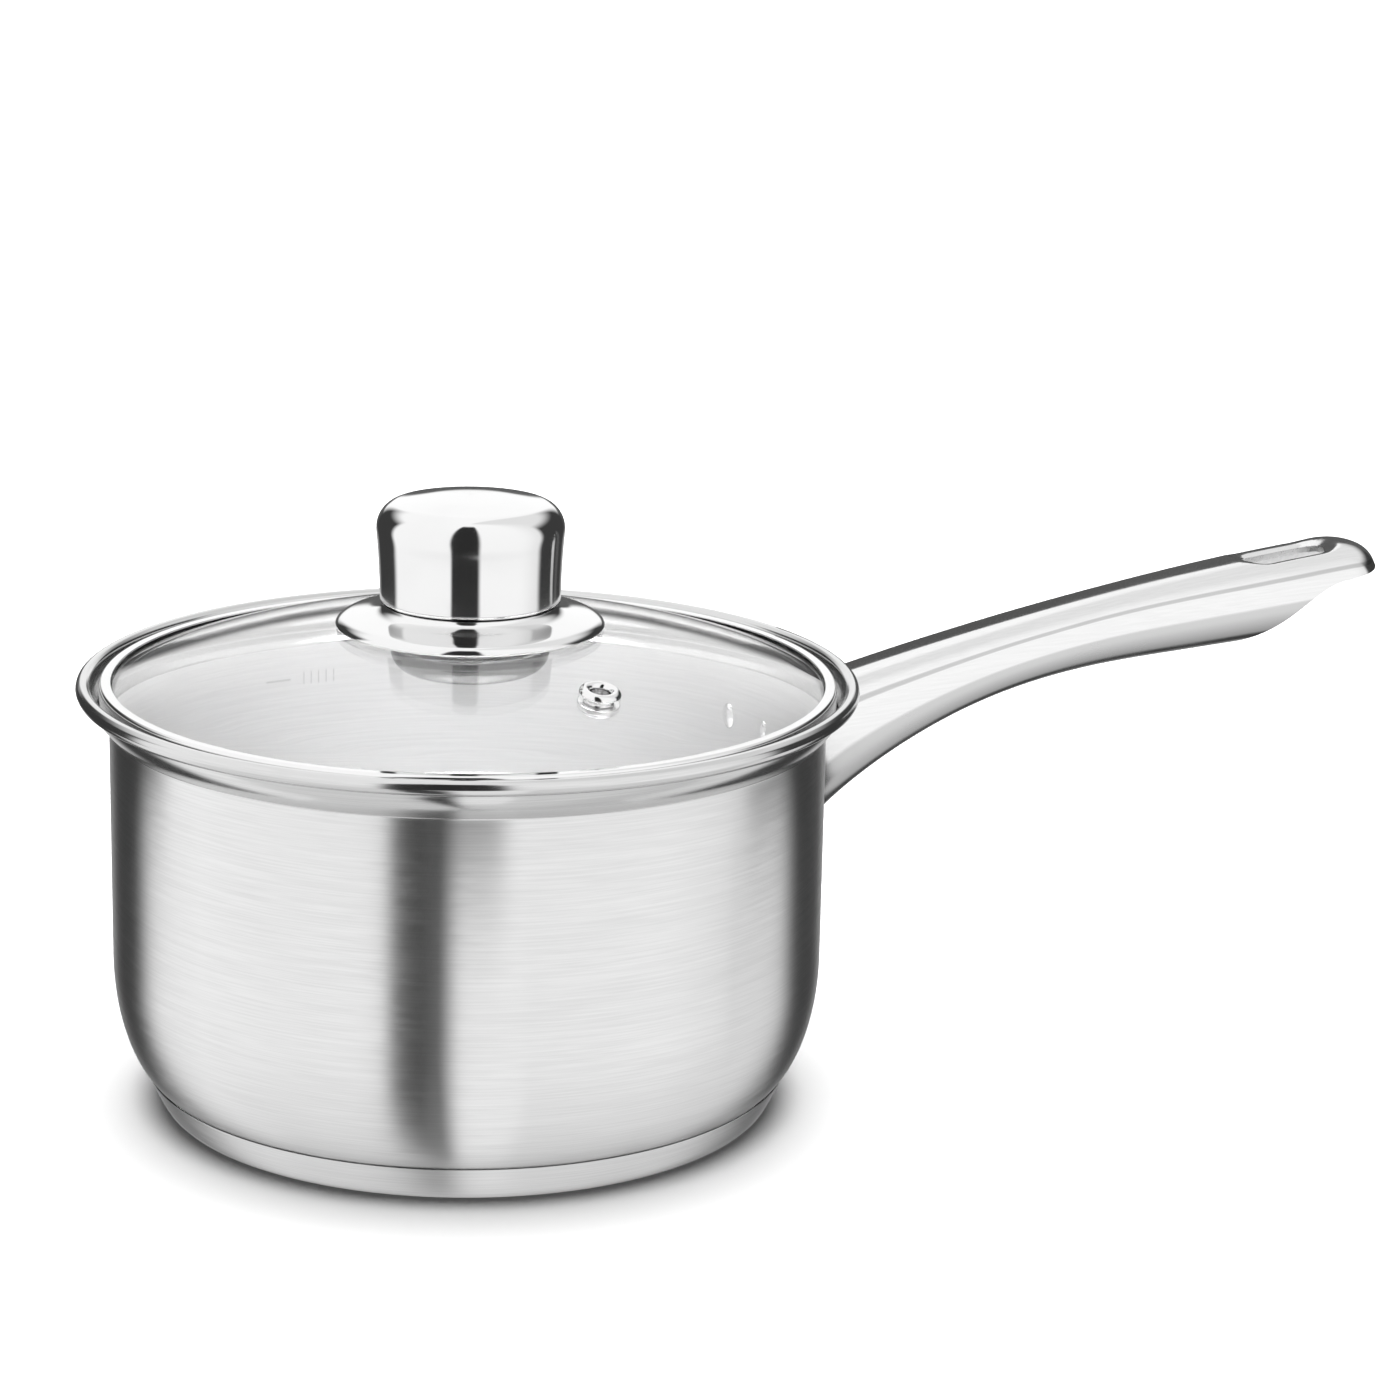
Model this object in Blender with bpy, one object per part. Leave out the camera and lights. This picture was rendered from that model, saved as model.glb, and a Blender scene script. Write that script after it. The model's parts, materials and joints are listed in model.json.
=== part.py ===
"""A 16 cm stainless saucepan with a domed glass lid.

The pan stands on z = 0 with its axis on the Z axis, and its handle points along +X.
Sizes here are in millimetres. make_object turns them into metres, which is what the scene holds.
"""

import math

import bmesh
import bpy
from mathutils import Vector

MILLIMETRE = 0.001
GAP = 0.3  # space left between pieces that touch on the real pan

# Pan shell
WALL_RADIUS = 80.7
SHELL_SHEET = 0.8
SHELL_BOTTOM = 5.4
CORNER_ACROSS = 12.6
CORNER_UP = 28.9
SEAT_HEIGHT = 88.1  # where the straight wall ends and the flare that seats the lid begins
FLARE_BEND = (84.0, 91.2)
FLARE_END = (85.4, 94.6)
LIP_BEAD = 1.75
LIP_CENTRE = (86.3, 96.45)

# Base under the shell
CAP_SHEET = 0.7
CAP_FOOT_RADIUS = 69.5
CAP_EDGE_RADIUS = 73.7
CAP_BEND = (70.3, 0.1)
DROP_TO_SHELL = 0.42  # upright distance under the sloping corner that leaves a gap of about 0.3

# Handle: a hollow tube with an oval section, cut open underneath towards its tip
HANDLE_SHEET = 1.5
CROWN_AT_ROOT = 88.4
CROWN_ROOT_X = 104.4
CROWN_SLOPE = 0.1824
CROWN_RADIUS = 1107.0
KEEL_LEVEL = 81.75
KEEL_LEVEL_X = 190.0
KEEL_SLOPE = 0.0232
KEEL_DROP = 31.7
KEEL_POWER = 2.6
GRIP_HALF_WIDTH = 10.5
TIP_HALF_WIDTH = 13.0
ROOT_HALF_WIDTH = 12.2
ROOT_FLARE = 6.5
ROOT_FLARE_LENGTH = 6.0
HANDLE_TIP_X = 262.3
NOSE_LENGTH = 12.9
NOSE_POWER = 2.4  # 2 gives an elliptical nose, more a blunter one
WIDEST_SHARE = 0.55  # how far down from the crown the section is widest
SECTION_POWER = 2.3
TONGUE_UNDERSIDE = 97.2
TONGUE_SLOPE = 0.13
SCOOP_START_X = 209.2
SCOOP_END_X = 247.0
SLOT_X = 234.5
SLOT_LENGTH = 25.0
SLOT_WIDTH = 8.4

# Lid glass and its steel rim
GLASS_APEX = 111.2
GLASS_SPHERE = 233.6
GLASS_THICKNESS = 3.5
GLASS_RADIUS = 81.9
GLASS_EDGE_ROUND = 0.6
GLASS_HOLE_RADIUS = 5.6
BAND_SHEET = 0.4
BAND_RADIUS = 82.8
BAND_TOP = 97.8
BAND_BOTTOM = 91.7
BAND_FLANGE_RADIUS = 80.2

# Steam vent
VENT_DISTANCE = 52.5
VENT_ANGLE = -86.0
VENT_BORE_RADIUS = 2.15
VENT_BARREL_RADIUS = 2.9
VENT_FLANGE_RADIUS = 4.65
VENT_GLASS_HOLE = 3.3

# Knob, from the glass upwards
COLLAR_SHEET = 0.7
COLLAR_TOP = 115.1
COLLAR_NECK_RADIUS = 19.7
COLLAR_SLOPE_START = (24.0, 112.75)
COLLAR_SLOPE_END = (27.4, 112.05)
COLLAR_EDGE_RADIUS = 30.25
COLLAR_EDGE_BOTTOM = 109.7
KNOB_SHEET = 0.8
KNOB_FOOT = 115.5
KNOB_WAIST_RADIUS = 20.3
KNOB_WIDEST_RADIUS = 21.1
KNOB_SHOULDER = 132.0
SHOULDER_ACROSS = 5.45
SHOULDER_UP = 6.0
KNOB_CROWN = 139.4
PLATE_RADIUS = 18.8
PLATE_THICKNESS = 1.0

# Screw and what it clamps under the glass
SCREW_RADIUS = 2.5
SCREW_HOLE_RADIUS = 2.9
SCREW_TIP = 126.0
SCREW_HEAD_RADIUS = 4.6
SCREW_HEAD_HEIGHT = 1.1
NUT_ACROSS_FLATS = 8.0
CUP_SHEET = 0.6
CUP_RADIUS = 17.8
CUP_RIM = 104.7
CUP_BOTTOM = 97.3
CUP_RECESS = 2.7
LOWER_GASKET_TOP = 106.6
UPPER_GASKET_RADIUS = 17.5

# Facets round a turned piece
LARGE = 64
MEDIUM = 32
SMALL = 20

# Name of each finish: colour, roughness, metallic
FINISHES = {
    "brushed_steel": ((0.66, 0.66, 0.67), 0.32, 1.0),
    "polished_steel": ((0.80, 0.80, 0.81), 0.06, 1.0),
    "satin_steel": ((0.70, 0.70, 0.71), 0.24, 1.0),
    "plain_steel": ((0.60, 0.60, 0.61), 0.40, 1.0),
    "aluminium": ((0.78, 0.78, 0.79), 0.45, 1.0),
    "glass": ((0.92, 0.95, 0.94), 0.02, 0.0),
    "silicone": ((0.10, 0.10, 0.10), 0.60, 0.0),
}


def clear_scene():
    for existing in list(bpy.data.objects):
        bpy.data.objects.remove(existing, do_unlink=True)


def finish(name):
    """The material of that name, made the first time it is asked for."""
    if name in bpy.data.materials:
        return bpy.data.materials[name]
    colour, roughness, metallic = FINISHES[name]
    material = bpy.data.materials.new(name)
    material.use_nodes = True
    shader = material.node_tree.nodes["Principled BSDF"]
    shader.inputs["Base Color"].default_value = (*colour, 1.0)
    shader.inputs["Roughness"].default_value = roughness
    shader.inputs["Metallic"].default_value = metallic
    if name == "glass":
        shader.inputs["Transmission Weight"].default_value = 1.0
    return material


def make_object(name, points, faces, finish_name):
    """One named solid from points in millimetres, shaded smooth where its faces meet gently."""
    mesh = bpy.data.meshes.new(name)
    mesh.from_pydata([Vector(point) * MILLIMETRE for point in points], [], faces)
    mesh.shade_smooth()
    mesh.set_sharp_from_angle(angle=math.radians(35))
    mesh.materials.append(finish(finish_name))
    solid = bpy.data.objects.new(name, mesh)
    bpy.context.scene.collection.objects.link(solid)
    return solid


# Outlines: lists of (radius, height) points


def arc(centre, radii, start, end, steps):
    """Points on an ellipse, from one angle to another, in degrees."""
    points = []
    for step in range(steps + 1):
        angle = math.radians(start + (end - start) * step / steps)
        points.append((centre[0] + radii[0] * math.cos(angle), centre[1] + radii[1] * math.sin(angle)))
    return points


def bend(start, control, end, steps):
    """A smooth curve that leaves start towards control and reaches end from it."""
    points = []
    for step in range(steps + 1):
        t = step / steps
        weights = ((1 - t) ** 2, 2 * t * (1 - t), t**2)
        points.append(tuple(sum(w * p[k] for w, p in zip(weights, (start, control, end))) for k in (0, 1)))
    return points


def beside(path, distance):
    """The path moved sideways, to the left of the way it runs."""
    moved = []
    for index, (x, y) in enumerate(path):
        before = Vector(path[max(index - 1, 0)])
        here = Vector((x, y))
        after = Vector(path[min(index + 1, len(path) - 1)])
        way_in = (here - before).normalized() if index else (after - here).normalized()
        way_out = (after - here).normalized() if index < len(path) - 1 else way_in
        normal = Vector((-way_in.y - way_out.y, way_in.x + way_out.x)).normalized()
        stretch = distance / max(normal.dot(Vector((-way_in.y, way_in.x))), 0.5)
        moved.append((x + normal.x * stretch, y + normal.y * stretch))
    return moved


def pressed_sheet(path, thickness):
    """The closed outline of a sheet whose outer side follows the path."""
    return path + beside(path, thickness)[::-1]


def turned(name, outline, finish_name, facets, sweep=360.0):
    """A solid of revolution about Z. A point on the axis becomes one vertex, and a part turn is closed."""
    area = sum(a[0] * b[1] - b[0] * a[1] for a, b in zip(outline, outline[1:] + outline[:1]))
    outline = [(max(radius, 0.0), height) for radius, height in outline]
    if area < 0:
        outline = outline[::-1]
    whole = sweep == 360.0
    stations = facets if whole else facets + 1
    points = []
    rows = []
    for radius, height in outline:
        if radius < 1e-6:
            rows.append([len(points)] * stations)
            points.append((0.0, 0.0, height))
            continue
        rows.append(list(range(len(points), len(points) + stations)))
        for station in range(stations):
            angle = math.radians(sweep) * station / facets
            points.append((radius * math.cos(angle), radius * math.sin(angle), height))
    faces = []
    for row, above in zip(rows, rows[1:] + rows[:1]):
        for station in range(facets):
            following = (station + 1) % stations
            corners = [row[station], row[following], above[following], above[station]]
            face = list(dict.fromkeys(corners))
            if len(face) > 2:
                faces.append(face)
    if not whole:
        faces.append([row[0] for row in rows])
        faces.append([row[-1] for row in rows][::-1])
    return make_object(name, points, faces, finish_name)


def lofted(name, sections, finish_name):
    """A solid through a row of closed sections with the same number of points, capped at both ends."""
    count = len(sections[0])
    points = [point for section in sections for point in section]
    faces = [list(range(count))[::-1], list(range(len(points) - count, len(points)))]
    for start in range(0, len(points) - count, count):
        for index in range(count):
            following = (index + 1) % count
            faces.append([start + index, start + following, start + count + following, start + count + index])
    return make_object(name, points, faces, finish_name)


def prism(name, outline, low, high, upright, finish_name):
    """The outline, a ring of point pairs, extruded from low to high. upright(a, b, depth) places a point."""
    sections = [[upright(a, b, depth) for a, b in outline] for depth in (low, high)]
    solid = lofted(name, sections, finish_name)
    shape = bmesh.new()
    shape.from_mesh(solid.data)
    bmesh.ops.recalc_face_normals(shape, faces=shape.faces)
    shape.to_mesh(solid.data)
    shape.free()
    return solid


def along_z(a, b, depth):
    return (a, b, depth)


def along_y(a, b, depth):
    return (a, depth, b)


def cut(target, cutter):
    """Subtracts the cutter, which is kept as a hidden guide."""
    cutter.hide_render = True
    cutter.display_type = "WIRE"
    step = target.modifiers.new("cut_" + cutter.name, "BOOLEAN")
    step.operation = "DIFFERENCE"
    step.solver = "EXACT"
    step.object = cutter


# Pan


def corner_height(radius):
    """Height of the shell's outside at a radius on its rounded lower corner."""
    share = (radius - (WALL_RADIUS - CORNER_ACROSS)) / CORNER_ACROSS
    return SHELL_BOTTOM + CORNER_UP * (1 - math.sqrt(1 - share**2))


def pan_body():
    corner_centre = (WALL_RADIUS - CORNER_ACROSS, SHELL_BOTTOM + CORNER_UP)
    outside = [(0.0, SHELL_BOTTOM)]
    outside += arc(corner_centre, (CORNER_ACROSS, CORNER_UP), -90, 0, 9)
    outside += bend((WALL_RADIUS, SEAT_HEIGHT), FLARE_BEND, FLARE_END, 4)
    inside = beside(outside, SHELL_SHEET)
    rolled_lip = arc(LIP_CENTRE, (LIP_BEAD, LIP_BEAD), -75, 180, 7)
    turned("pan_body", outside + rolled_lip + inside[::-1], "brushed_steel", LARGE)


def base_cap():
    edge = (CAP_EDGE_RADIUS, corner_height(CAP_EDGE_RADIUS) - DROP_TO_SHELL)
    inner_radius = CAP_EDGE_RADIUS - CAP_SHEET
    inner_edge = (inner_radius, corner_height(inner_radius) - DROP_TO_SHELL)
    outside = [(0.0, 0.0)] + bend((CAP_FOOT_RADIUS, 0.0), CAP_BEND, edge, 4)
    inner_bend = (CAP_BEND[0] - CAP_SHEET, CAP_BEND[1] + CAP_SHEET)
    inside = bend(inner_edge, inner_bend, (CAP_FOOT_RADIUS - CAP_SHEET, CAP_SHEET), 4) + [(0.0, CAP_SHEET)]
    turned("base_cap", outside + inside, "satin_steel", LARGE)


def base_core_disc():
    clearance = CAP_SHEET + GAP
    rim_radius = CAP_EDGE_RADIUS - CAP_SHEET - 2 * GAP
    rim = (rim_radius, corner_height(rim_radius) - DROP_TO_SHELL)
    side = bend((CAP_FOOT_RADIUS - clearance, clearance), (CAP_BEND[0] - clearance, CAP_BEND[1] + clearance), rim, 4)
    flat_radius = WALL_RADIUS - CORNER_ACROSS
    top = []
    for step in range(1, 4):
        radius = rim_radius + (flat_radius - rim_radius) * step / 3
        top.append((radius, corner_height(radius) - DROP_TO_SHELL))
    turned("base_core_disc", [(0.0, clearance)] + side + top + [(0.0, top[-1][1])], "aluminium", LARGE)


# Handle


def crown_height(x):
    """Top line of the handle before its nose."""
    run = x - CROWN_ROOT_X
    return CROWN_AT_ROOT + CROWN_SLOPE * run - run**2 / (2 * CROWN_RADIUS)


def keel_height(x):
    """Lowest line of the handle: nearly level under the grip, and falling steeply to the pan."""
    share = max(0.0, (KEEL_LEVEL_X - x) / (KEEL_LEVEL_X - WALL_RADIUS))
    return KEEL_LEVEL + KEEL_SLOPE * (x - KEEL_LEVEL_X) - KEEL_DROP * share**KEEL_POWER


def eased(x, start, end):
    share = min(max((x - start) / (end - start), 0.0), 1.0)
    return share * share * (3 - 2 * share)


def plain_half_width(x):
    """Half the width of the handle before its rounded tip: narrow at the grip and wide at both ends."""
    narrowing = eased(x, WALL_RADIUS, 150.0) * (GRIP_HALF_WIDTH - ROOT_HALF_WIDTH)
    widening = eased(x, 165.0, SLOT_X) * (TIP_HALF_WIDTH - GRIP_HALF_WIDTH)
    flare = ROOT_FLARE * math.exp(-(x - WALL_RADIUS) / ROOT_FLARE_LENGTH)
    return ROOT_HALF_WIDTH + narrowing + widening + flare


def rounding(share):
    """How much of the full height or width is left at a share of the way into the nose."""
    return (1 - share**NOSE_POWER) ** (1 / NOSE_POWER)


def handle_section(x, inset, count):
    """A closed oval across the handle at x. A positive inset gives the inside of the sheet."""
    nose_start = HANDLE_TIP_X - NOSE_LENGTH
    crown = crown_height(x) - inset
    if x > nose_start:
        rise = crown_height(nose_start) - TONGUE_UNDERSIDE - inset
        crown = TONGUE_UNDERSIDE + rise * rounding((x - nose_start) / (NOSE_LENGTH - inset))
    half_width = plain_half_width(x) - inset
    round_start = HANDLE_TIP_X - TIP_HALF_WIDTH
    if x > round_start:
        half_width *= rounding((x - round_start) / (TIP_HALF_WIDTH - inset))
    keel = keel_height(x) + inset
    widest = crown - WIDEST_SHARE * (crown - keel)
    section = []
    for index in range(count):
        angle = 2 * math.pi * index / count
        across = math.copysign(abs(math.cos(angle)) ** (2 / SECTION_POWER), math.cos(angle))
        along = math.copysign(abs(math.sin(angle)) ** (2 / SECTION_POWER), math.sin(angle))
        reach = crown - widest if along > 0 else widest - keel
        section.append((x, half_width * across, widest + reach * along))
    return section


def handle_stations(inset):
    """Places along the handle where its section is set, close together at the flared root and the nose."""
    root_end = WALL_RADIUS + 16.0
    round_start = HANDLE_TIP_X - TIP_HALF_WIDTH
    stations = [WALL_RADIUS - 4.0 + (root_end - WALL_RADIUS + 4.0) * step / 8 for step in range(8)]
    stations += [root_end + (round_start - root_end) * step / 13 for step in range(13)]
    for step in range(7):
        stations.append(round_start + (TIP_HALF_WIDTH - inset) * math.sin(math.radians(13.5 * step)))
    return stations


def handle_tube(name, inset, count, finish_name):
    sections = [handle_section(x, inset, count) for x in handle_stations(inset)]
    return lofted(name, sections, finish_name)


def scoop_cutter():
    """What is removed under the tip: the tube's underside, up an S curve to the tongue."""
    low = keel_height(SCOOP_START_X) - 0.2
    curve = []
    for step in range(13):
        x = SCOOP_START_X + (SCOOP_END_X - SCOOP_START_X) * step / 12
        curve.append((x, low + (TONGUE_UNDERSIDE - low) * eased(x, SCOOP_START_X, SCOOP_END_X)))
    floor = low - 20.0
    beyond_tip = HANDLE_TIP_X + 10.0
    end_height = TONGUE_UNDERSIDE + TONGUE_SLOPE * (beyond_tip - SCOOP_END_X)
    outline = [(SCOOP_START_X, floor)] + curve + [(beyond_tip, end_height), (beyond_tip, floor)]
    return prism("scoop_cutter", outline, -2 * TIP_HALF_WIDTH, 2 * TIP_HALF_WIDTH, along_y, "plain_steel")


def slot_cutter():
    """A slot with round ends, for hanging the pan on a hook."""
    radius = SLOT_WIDTH / 2
    offset = SLOT_LENGTH / 2 - radius
    outline = arc((SLOT_X + offset, 0.0), (radius, radius), -90, 90, 10)
    outline += arc((SLOT_X - offset, 0.0), (radius, radius), 90, 270, 10)
    return prism("slot_cutter", outline, TONGUE_UNDERSIDE - 2.0, GLASS_APEX + 5.0, along_z, "plain_steel")


def handle_shell():
    shell = handle_tube("handle_shell", 0.0, 24, "polished_steel")
    cut(shell, handle_tube("handle_inside", HANDLE_SHEET, 20, "plain_steel"))
    cut(shell, scoop_cutter())
    cut(shell, slot_cutter())
    wall = [(0.0, 40.0), (WALL_RADIUS + GAP + 0.1, 40.0), (WALL_RADIUS + GAP + 0.1, 95.0), (0.0, 95.0)]
    cut(shell, turned("pan_wall_cutter", wall, "plain_steel", 2 * LARGE))


def handle_bracket():
    """A stamped U in the root of the handle: its back follows the wall, its arms reach along the tube."""
    sheet = 1.5
    back = WALL_RADIUS + GAP + 0.1
    arm_end = back + 15.0
    arm_side = 8.5
    reach = math.degrees(math.asin(arm_side / back))
    inner_reach = math.degrees(math.asin((arm_side - sheet) / (back + sheet)))
    outline = arc((0.0, 0.0), (back, back), -reach, reach, 6)
    outline += [(arm_end, arm_side), (arm_end, arm_side - sheet)]
    outline += arc((0.0, 0.0), (back + sheet, back + sheet), inner_reach, -inner_reach, 6)
    outline += [(arm_end, sheet - arm_side), (arm_end, -arm_side)]
    prism("handle_bracket", outline, 71.0, 79.0, along_z, "plain_steel")


# Lid


def dome_height(radius, sphere):
    """Height of a ball concentric with the glass, at a radius from the lid's axis."""
    return GLASS_APEX - GLASS_SPHERE + math.sqrt(sphere**2 - radius**2)


def lid_glass():
    edge = GLASS_RADIUS - GLASS_EDGE_ROUND
    under = GLASS_SPHERE - GLASS_THICKNESS
    radii = [GLASS_HOLE_RADIUS + (edge - GLASS_HOLE_RADIUS) * step / 8 for step in range(9)]
    top = [(radius, dome_height(radius, GLASS_SPHERE)) for radius in radii]
    bottom = [(radius, dome_height(radius, under)) for radius in radii]
    rim = [(GLASS_RADIUS, bottom[-1][1] + GLASS_EDGE_ROUND), (GLASS_RADIUS, top[-1][1] - GLASS_EDGE_ROUND)]
    glass = turned("lid_glass", bottom + rim + top[::-1], "glass", LARGE)
    hole = [(0.0, -8.0), (VENT_GLASS_HOLE, -8.0), (VENT_GLASS_HOLE, 4.0), (0.0, 4.0)]
    cut(glass, on_vent_axis(turned("vent_cutter", hole, "glass", SMALL)))


def lid_rim_band():
    flange = BAND_FLANGE_RADIUS
    corner = 0.5
    outline = [
        (flange, BAND_TOP),
        (BAND_RADIUS - corner, BAND_TOP),
        (BAND_RADIUS, BAND_TOP - corner),
        (BAND_RADIUS, BAND_BOTTOM + corner),
        (BAND_RADIUS - corner, BAND_BOTTOM),
        (flange + BAND_SHEET, BAND_BOTTOM),
        (flange + BAND_SHEET, BAND_BOTTOM + BAND_SHEET),
        (BAND_RADIUS - BAND_SHEET, BAND_BOTTOM + BAND_SHEET),
        (BAND_RADIUS - BAND_SHEET, BAND_TOP - BAND_SHEET),
        (flange, BAND_TOP - BAND_SHEET),
    ]
    turned("lid_rim_band", outline, "polished_steel", LARGE)


def on_vent_axis(solid):
    """Moves a piece made about Z, with its zero on the glass, to the vent, square to the dome."""
    angle = math.radians(VENT_ANGLE)
    height = dome_height(VENT_DISTANCE, GLASS_SPHERE)
    place = (VENT_DISTANCE * math.cos(angle), VENT_DISTANCE * math.sin(angle), height)
    tilt = math.asin(VENT_DISTANCE / GLASS_SPHERE)
    solid.location = Vector(place) * MILLIMETRE
    solid.rotation_euler = (0.0, tilt, angle)
    return solid


def vent_eyelet():
    """A tube with a rounded flange on top. Its lower end is flared out over the washer."""
    clinch = VENT_BARREL_RADIUS + 0.9
    clinch_top = -(GLASS_THICKNESS + 1.75)
    clinch_bottom = clinch_top - 0.6
    crest_radius = (VENT_BORE_RADIUS + VENT_FLANGE_RADIUS) / 2
    crest = arc((crest_radius, GAP), (VENT_FLANGE_RADIUS - crest_radius, 1.3), 0, 180, 6)
    outline = crest + [
        (VENT_BORE_RADIUS, clinch_bottom),
        (clinch, clinch_bottom),
        (clinch, clinch_top),
        (VENT_BARREL_RADIUS, clinch_top),
        (VENT_BARREL_RADIUS, GAP),
    ]
    on_vent_axis(turned("vent_eyelet", outline, "polished_steel", SMALL))


def vent_washer():
    top = -(GLASS_THICKNESS + GAP)
    bottom = top - 1.1
    outline = [
        (VENT_BARREL_RADIUS + GAP, top),
        (VENT_BARREL_RADIUS + GAP, bottom),
        (VENT_FLANGE_RADIUS - 0.2, bottom),
        (VENT_FLANGE_RADIUS, bottom + 0.3),
        (VENT_FLANGE_RADIUS, top - 0.3),
        (VENT_FLANGE_RADIUS - 0.2, top),
    ]
    on_vent_axis(turned("vent_washer", outline, "polished_steel", SMALL))


# Knob


def knob_cap():
    """A hollow cap that flares slightly from its foot to a rounded shoulder."""
    shoulder_centre = (KNOB_WIDEST_RADIUS - SHOULDER_ACROSS, KNOB_SHOULDER)
    shoulder = arc(shoulder_centre, (SHOULDER_ACROSS, SHOULDER_UP), -6, 78, 6)
    flare_radius, flare_top = shoulder[0]
    side = []
    for step in range(6):
        share = step / 6
        widening = (flare_radius - KNOB_WAIST_RADIUS) * share**2
        side.append((KNOB_WAIST_RADIUS + widening, KNOB_FOOT + (flare_top - KNOB_FOOT) * share))
    top = [(9.0, KNOB_CROWN - 0.4), (0.0, KNOB_CROWN)]
    turned("knob_cap", pressed_sheet(side + shoulder + top, KNOB_SHEET), "polished_steel", MEDIUM)


def knob_collar():
    """A pressed ring: a neck under the knob, a gentle slope outwards and an edge rolled down to the glass."""
    web_hole = SCREW_HOLE_RADIUS + GAP
    edge = (COLLAR_EDGE_RADIUS, COLLAR_EDGE_BOTTOM + 0.5)
    neck_bend = (COLLAR_NECK_RADIUS + 0.7, COLLAR_SLOPE_START[1] + 0.7)
    path = [(web_hole, COLLAR_TOP)]
    path += bend((COLLAR_NECK_RADIUS, COLLAR_TOP), neck_bend, COLLAR_SLOPE_START, 4)
    path += bend(COLLAR_SLOPE_END, (COLLAR_EDGE_RADIUS - 0.4, COLLAR_SLOPE_END[1] - 0.5), edge, 4)
    path += [(COLLAR_EDGE_RADIUS - 0.15, COLLAR_EDGE_BOTTOM)]
    turned("knob_collar", pressed_sheet(path, -COLLAR_SHEET), "polished_steel", MEDIUM)


def ring(name, inner, outer, bottom, top, finish_name, facets=SMALL, sweep=360.0):
    """A flat ring or sleeve."""
    outline = [(inner, bottom), (outer, bottom), (outer, top), (inner, top)]
    return turned(name, outline, finish_name, facets, sweep)


def knob_plate():
    bottom = COLLAR_TOP + GAP
    ring("knob_plate", SCREW_HOLE_RADIUS, PLATE_RADIUS, bottom, bottom + PLATE_THICKNESS, "plain_steel", MEDIUM)


def knob_nut():
    bottom = COLLAR_TOP + GAP + PLATE_THICKNESS + GAP
    corner = NUT_ACROSS_FLATS / math.sqrt(3)
    nut = prism("knob_nut", arc((0.0, 0.0), (corner, corner), 0, 300, 5), bottom, SCREW_TIP + 1.0, along_z,
                "plain_steel")
    thread = [(0.0, 110.0), (SCREW_RADIUS + 0.15, 110.0), (SCREW_RADIUS + 0.15, 130.0), (0.0, 130.0)]
    cut(nut, turned("nut_cutter", thread, "plain_steel", SMALL))


def upper_gasket():
    bushing_flange = 8.7
    ring("upper_gasket", bushing_flange, UPPER_GASKET_RADIUS, GLASS_APEX + GAP, COLLAR_TOP - COLLAR_SHEET - GAP,
         "silicone", MEDIUM)


def glass_bushing():
    """A silicone T in the centre hole: a sleeve round the screw and a flange on the glass."""
    sleeve = GLASS_HOLE_RADIUS - GAP
    flange = 8.4
    seat = GLASS_APEX + GAP
    outline = [
        (SCREW_HOLE_RADIUS, GLASS_APEX - GLASS_THICKNESS),
        (sleeve, GLASS_APEX - GLASS_THICKNESS),
        (sleeve, seat),
        (flange, seat),
        (flange, seat + 1.5),
        (SCREW_HOLE_RADIUS, seat + 1.5),
    ]
    turned("glass_bushing", outline, "silicone", SMALL)


def lower_gasket():
    ring("lower_gasket", CUP_RADIUS - 2.6, CUP_RADIUS + 0.1, CUP_RIM + GAP, LOWER_GASKET_TOP, "silicone", MEDIUM)


def under_lid_cup():
    """A bowl whose rim presses the gasket to the glass, with a recess that hides the screw's head."""
    recess_radius = 5.3
    path = [(CUP_RADIUS, CUP_RIM)]
    path += bend((CUP_RADIUS, CUP_RIM - 2.1), (CUP_RADIUS - 0.2, CUP_BOTTOM + 0.5), (11.5, CUP_BOTTOM + 0.1), 5)
    path += [
        (recess_radius + 0.7, CUP_BOTTOM),
        (recess_radius, CUP_BOTTOM + 0.5),
        (recess_radius, CUP_BOTTOM + CUP_RECESS),
        (SCREW_HOLE_RADIUS, CUP_BOTTOM + CUP_RECESS),
    ]
    turned("under_lid_cup", pressed_sheet(path, -CUP_SHEET), "polished_steel", MEDIUM)


def lock_washer():
    """A spring washer, split by a narrow gap."""
    bottom = CUP_BOTTOM + SCREW_HEAD_HEIGHT + GAP
    ring("lock_washer", SCREW_HOLE_RADIUS, SCREW_HEAD_RADIUS, bottom, CUP_BOTTOM + CUP_RECESS - GAP, "plain_steel",
         SMALL, 350.0)


def knob_screw():
    under_head = CUP_BOTTOM + SCREW_HEAD_HEIGHT
    outline = [
        (0.0, CUP_BOTTOM),
        (SCREW_HEAD_RADIUS - 0.8, CUP_BOTTOM),
        (SCREW_HEAD_RADIUS, CUP_BOTTOM + 0.6),
        (SCREW_HEAD_RADIUS, under_head),
        (SCREW_RADIUS, under_head),
        (SCREW_RADIUS, SCREW_TIP - 0.6),
        (SCREW_RADIUS - 0.5, SCREW_TIP),
        (0.0, SCREW_TIP),
    ]
    screw = turned("knob_screw", outline, "plain_steel", SMALL)
    long_half = 2.4
    short_half = 0.45
    for name, half_x, half_y in (("cross_cutter_x", long_half, short_half), ("cross_cutter_y", short_half, long_half)):
        blade = [(-half_x, -half_y), (half_x, -half_y), (half_x, half_y), (-half_x, half_y)]
        cut(screw, prism(name, blade, CUP_BOTTOM - 1.0, CUP_BOTTOM + 0.9, along_z, "plain_steel"))


def main():
    clear_scene()
    for make_piece in (
        pan_body,
        base_core_disc,
        base_cap,
        handle_shell,
        handle_bracket,
        lid_glass,
        lid_rim_band,
        vent_eyelet,
        vent_washer,
        knob_cap,
        knob_collar,
        knob_plate,
        knob_nut,
        upper_gasket,
        glass_bushing,
        lower_gasket,
        under_lid_cup,
        lock_washer,
        knob_screw,
    ):
        make_piece()


main()
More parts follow.
